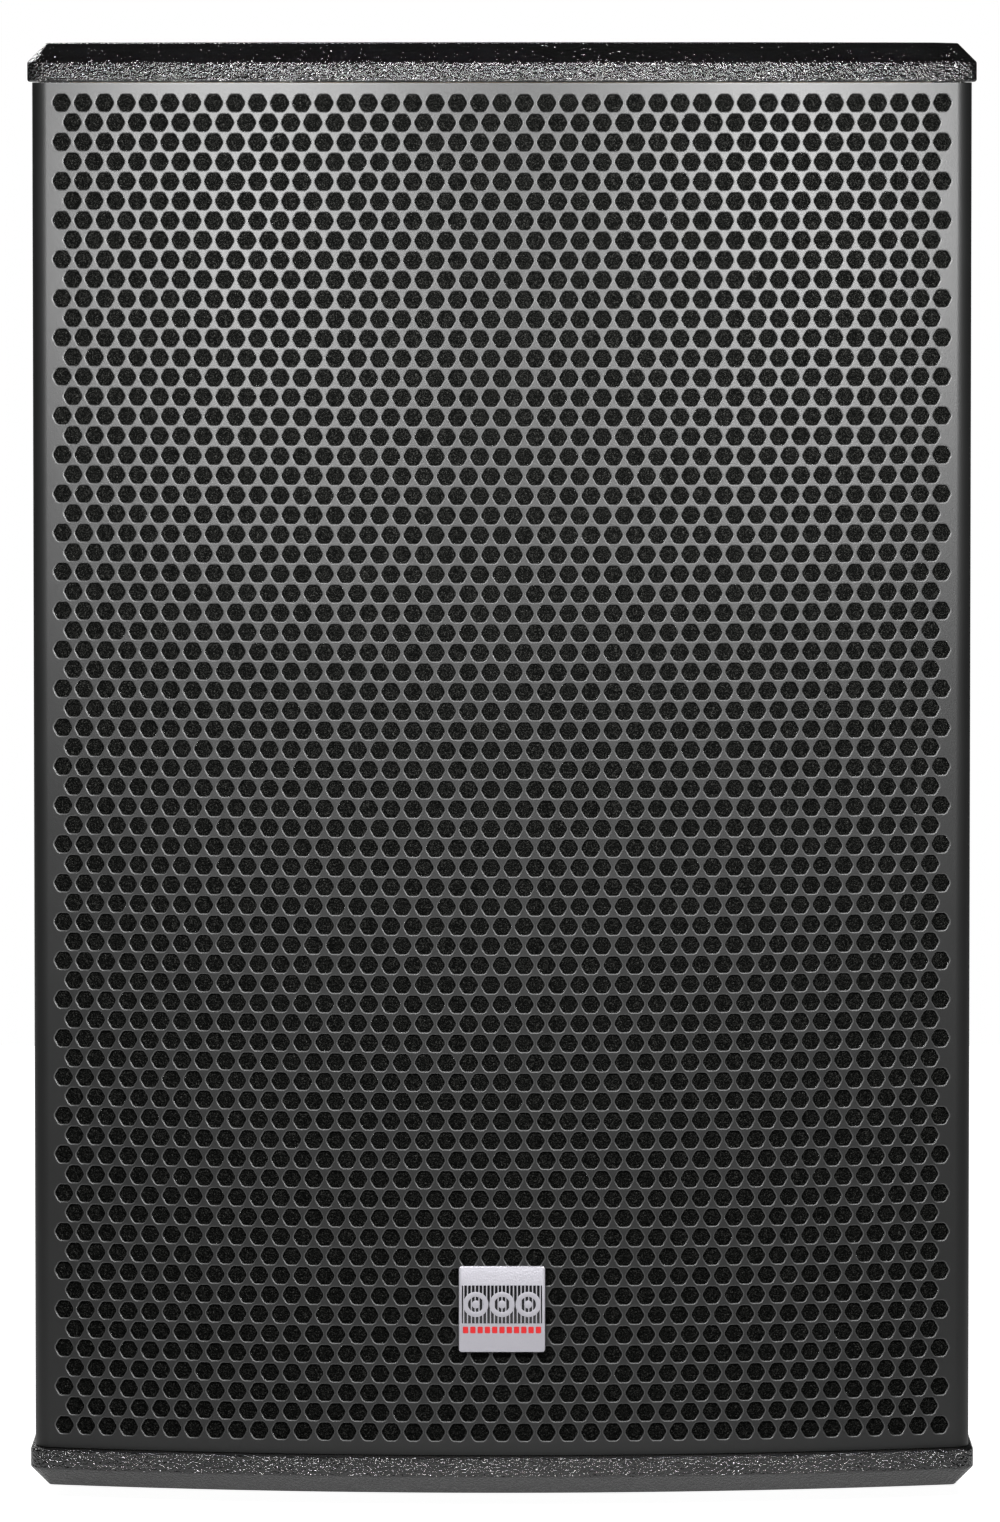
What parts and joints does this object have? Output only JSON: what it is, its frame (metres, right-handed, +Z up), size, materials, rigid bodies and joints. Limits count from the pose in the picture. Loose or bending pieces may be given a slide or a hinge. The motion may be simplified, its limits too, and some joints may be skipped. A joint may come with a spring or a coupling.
{
  "type": "pa speaker cabinet",
  "caption": "Two-way passive PA loudspeaker: chamfered plywood cabinet, bowed perforated steel grille, woofer, horn, recessed side handles and pole socket.",
  "frame": {"origin": "on the floor, under the middle of the bounding box", "axes": "+Z up, -Y out of the front grille, +X to the right seen from the front"},
  "size_m": [0.428, 0.4, 0.66],
  "materials": {
    "painted_plywood": "coarse textured black paint on plywood",
    "raw_plywood": "bare plywood",
    "grille_steel": "satin black powder coat on perforated steel",
    "acoustic_foam": "open-cell black foam",
    "badge_metal": "satin plate",
    "black_steel": "black powder coat",
    "cast_frame": "black painted casting",
    "soft_rubber": "matte",
    "treated_cloth": "doped cloth",
    "spider_cloth": "resin-treated weave",
    "paper_cone": "pressed pulp",
    "coil_former": "wound former",
    "plated_steel": "zinc plated",
    "ferrite": "sintered",
    "moulded_plastic": "fine grain",
    "dome_titanium": "thin metal foil",
    "circuit_board": "solder mask",
    "copper_winding": "enamelled wire",
    "film_capacitor": "wrapped film",
    "lead_jacket": "insulated lead"
  },
  "bodies": {
    "cabinet": {"top_board": "painted_plywood", "bottom_board": "painted_plywood", "side_board_left": "painted_plywood", "side_board_right": "painted_plywood", "quarter_board_left": "painted_plywood", "quarter_board_right": "painted_plywood", "rear_board": "painted_plywood", "baffle": "painted_plywood", "brace": "raw_plywood", "grille": "grille_steel", "grille_foam": "acoustic_foam", "badge": "badge_metal", "grille_screw_left_low": "black_steel", "grille_screw_left_middle": "black_steel", "grille_screw_left_high": "black_steel", "grille_screw_right_low": "black_steel", "grille_screw_right_middle": "black_steel", "grille_screw_right_high": "black_steel", "handle_cup_left": "black_steel", "handle_cup_right": "black_steel", "input_dish": "black_steel", "pole_socket": "black_steel", "woofer_basket": "cast_frame", "woofer_gasket": "soft_rubber", "handle_bar_left": "soft_rubber", "handle_bar_right": "soft_rubber", "foot_front_left": "soft_rubber", "foot_front_right": "soft_rubber", "foot_rear_left": "soft_rubber", "foot_rear_right": "soft_rubber", "woofer_surround": "treated_cloth", "driver_suspension": "treated_cloth", "woofer_spider": "spider_cloth", "woofer_top_plate": "plated_steel", "woofer_yoke": "plated_steel", "driver_yoke": "plated_steel", "driver_plate": "plated_steel", "top_insert_left": "plated_steel", "top_insert_right": "plated_steel", "rear_insert": "plated_steel", "woofer_magnet": "ferrite", "driver_magnet": "ferrite", "horn": "moulded_plastic", "driver_cover": "moulded_plastic", "port_tube_left": "moulded_plastic", "port_tube_right": "moulded_plastic", "input_socket": "moulded_plastic", "link_socket": "moulded_plastic", "crossover_board": "circuit_board", "lowpass_coil": "copper_winding", "highpass_coil": "copper_winding", "crossover_capacitor": "film_capacitor", "input_lead": "lead_jacket", "woofer_lead": "lead_jacket", "horn_lead": "lead_jacket"},
    "cone_assembly": {"woofer_cone": "paper_cone", "dust_cap": "paper_cone", "voice_coil": "coil_former"},
    "driver_dome": {"driver_diaphragm": "dome_titanium"}
  },
  "joints": [
    {"name": "woofer_stroke", "type": "slide", "parent": "cabinet", "child": "cone_assembly", "axis": [0, -1, 0], "range_m": [-0.007, 0.007], "stiffness_N_per_m": 4000, "deforming": ["woofer_surround", "woofer_spider"]},
    {"name": "driver_stroke", "type": "slide", "parent": "cabinet", "child": "driver_dome", "axis": [0, -1, 0], "range_m": [-0.0004, 0.0004], "stiffness_N_per_m": 150, "deforming": ["driver_suspension"]}
  ]
}
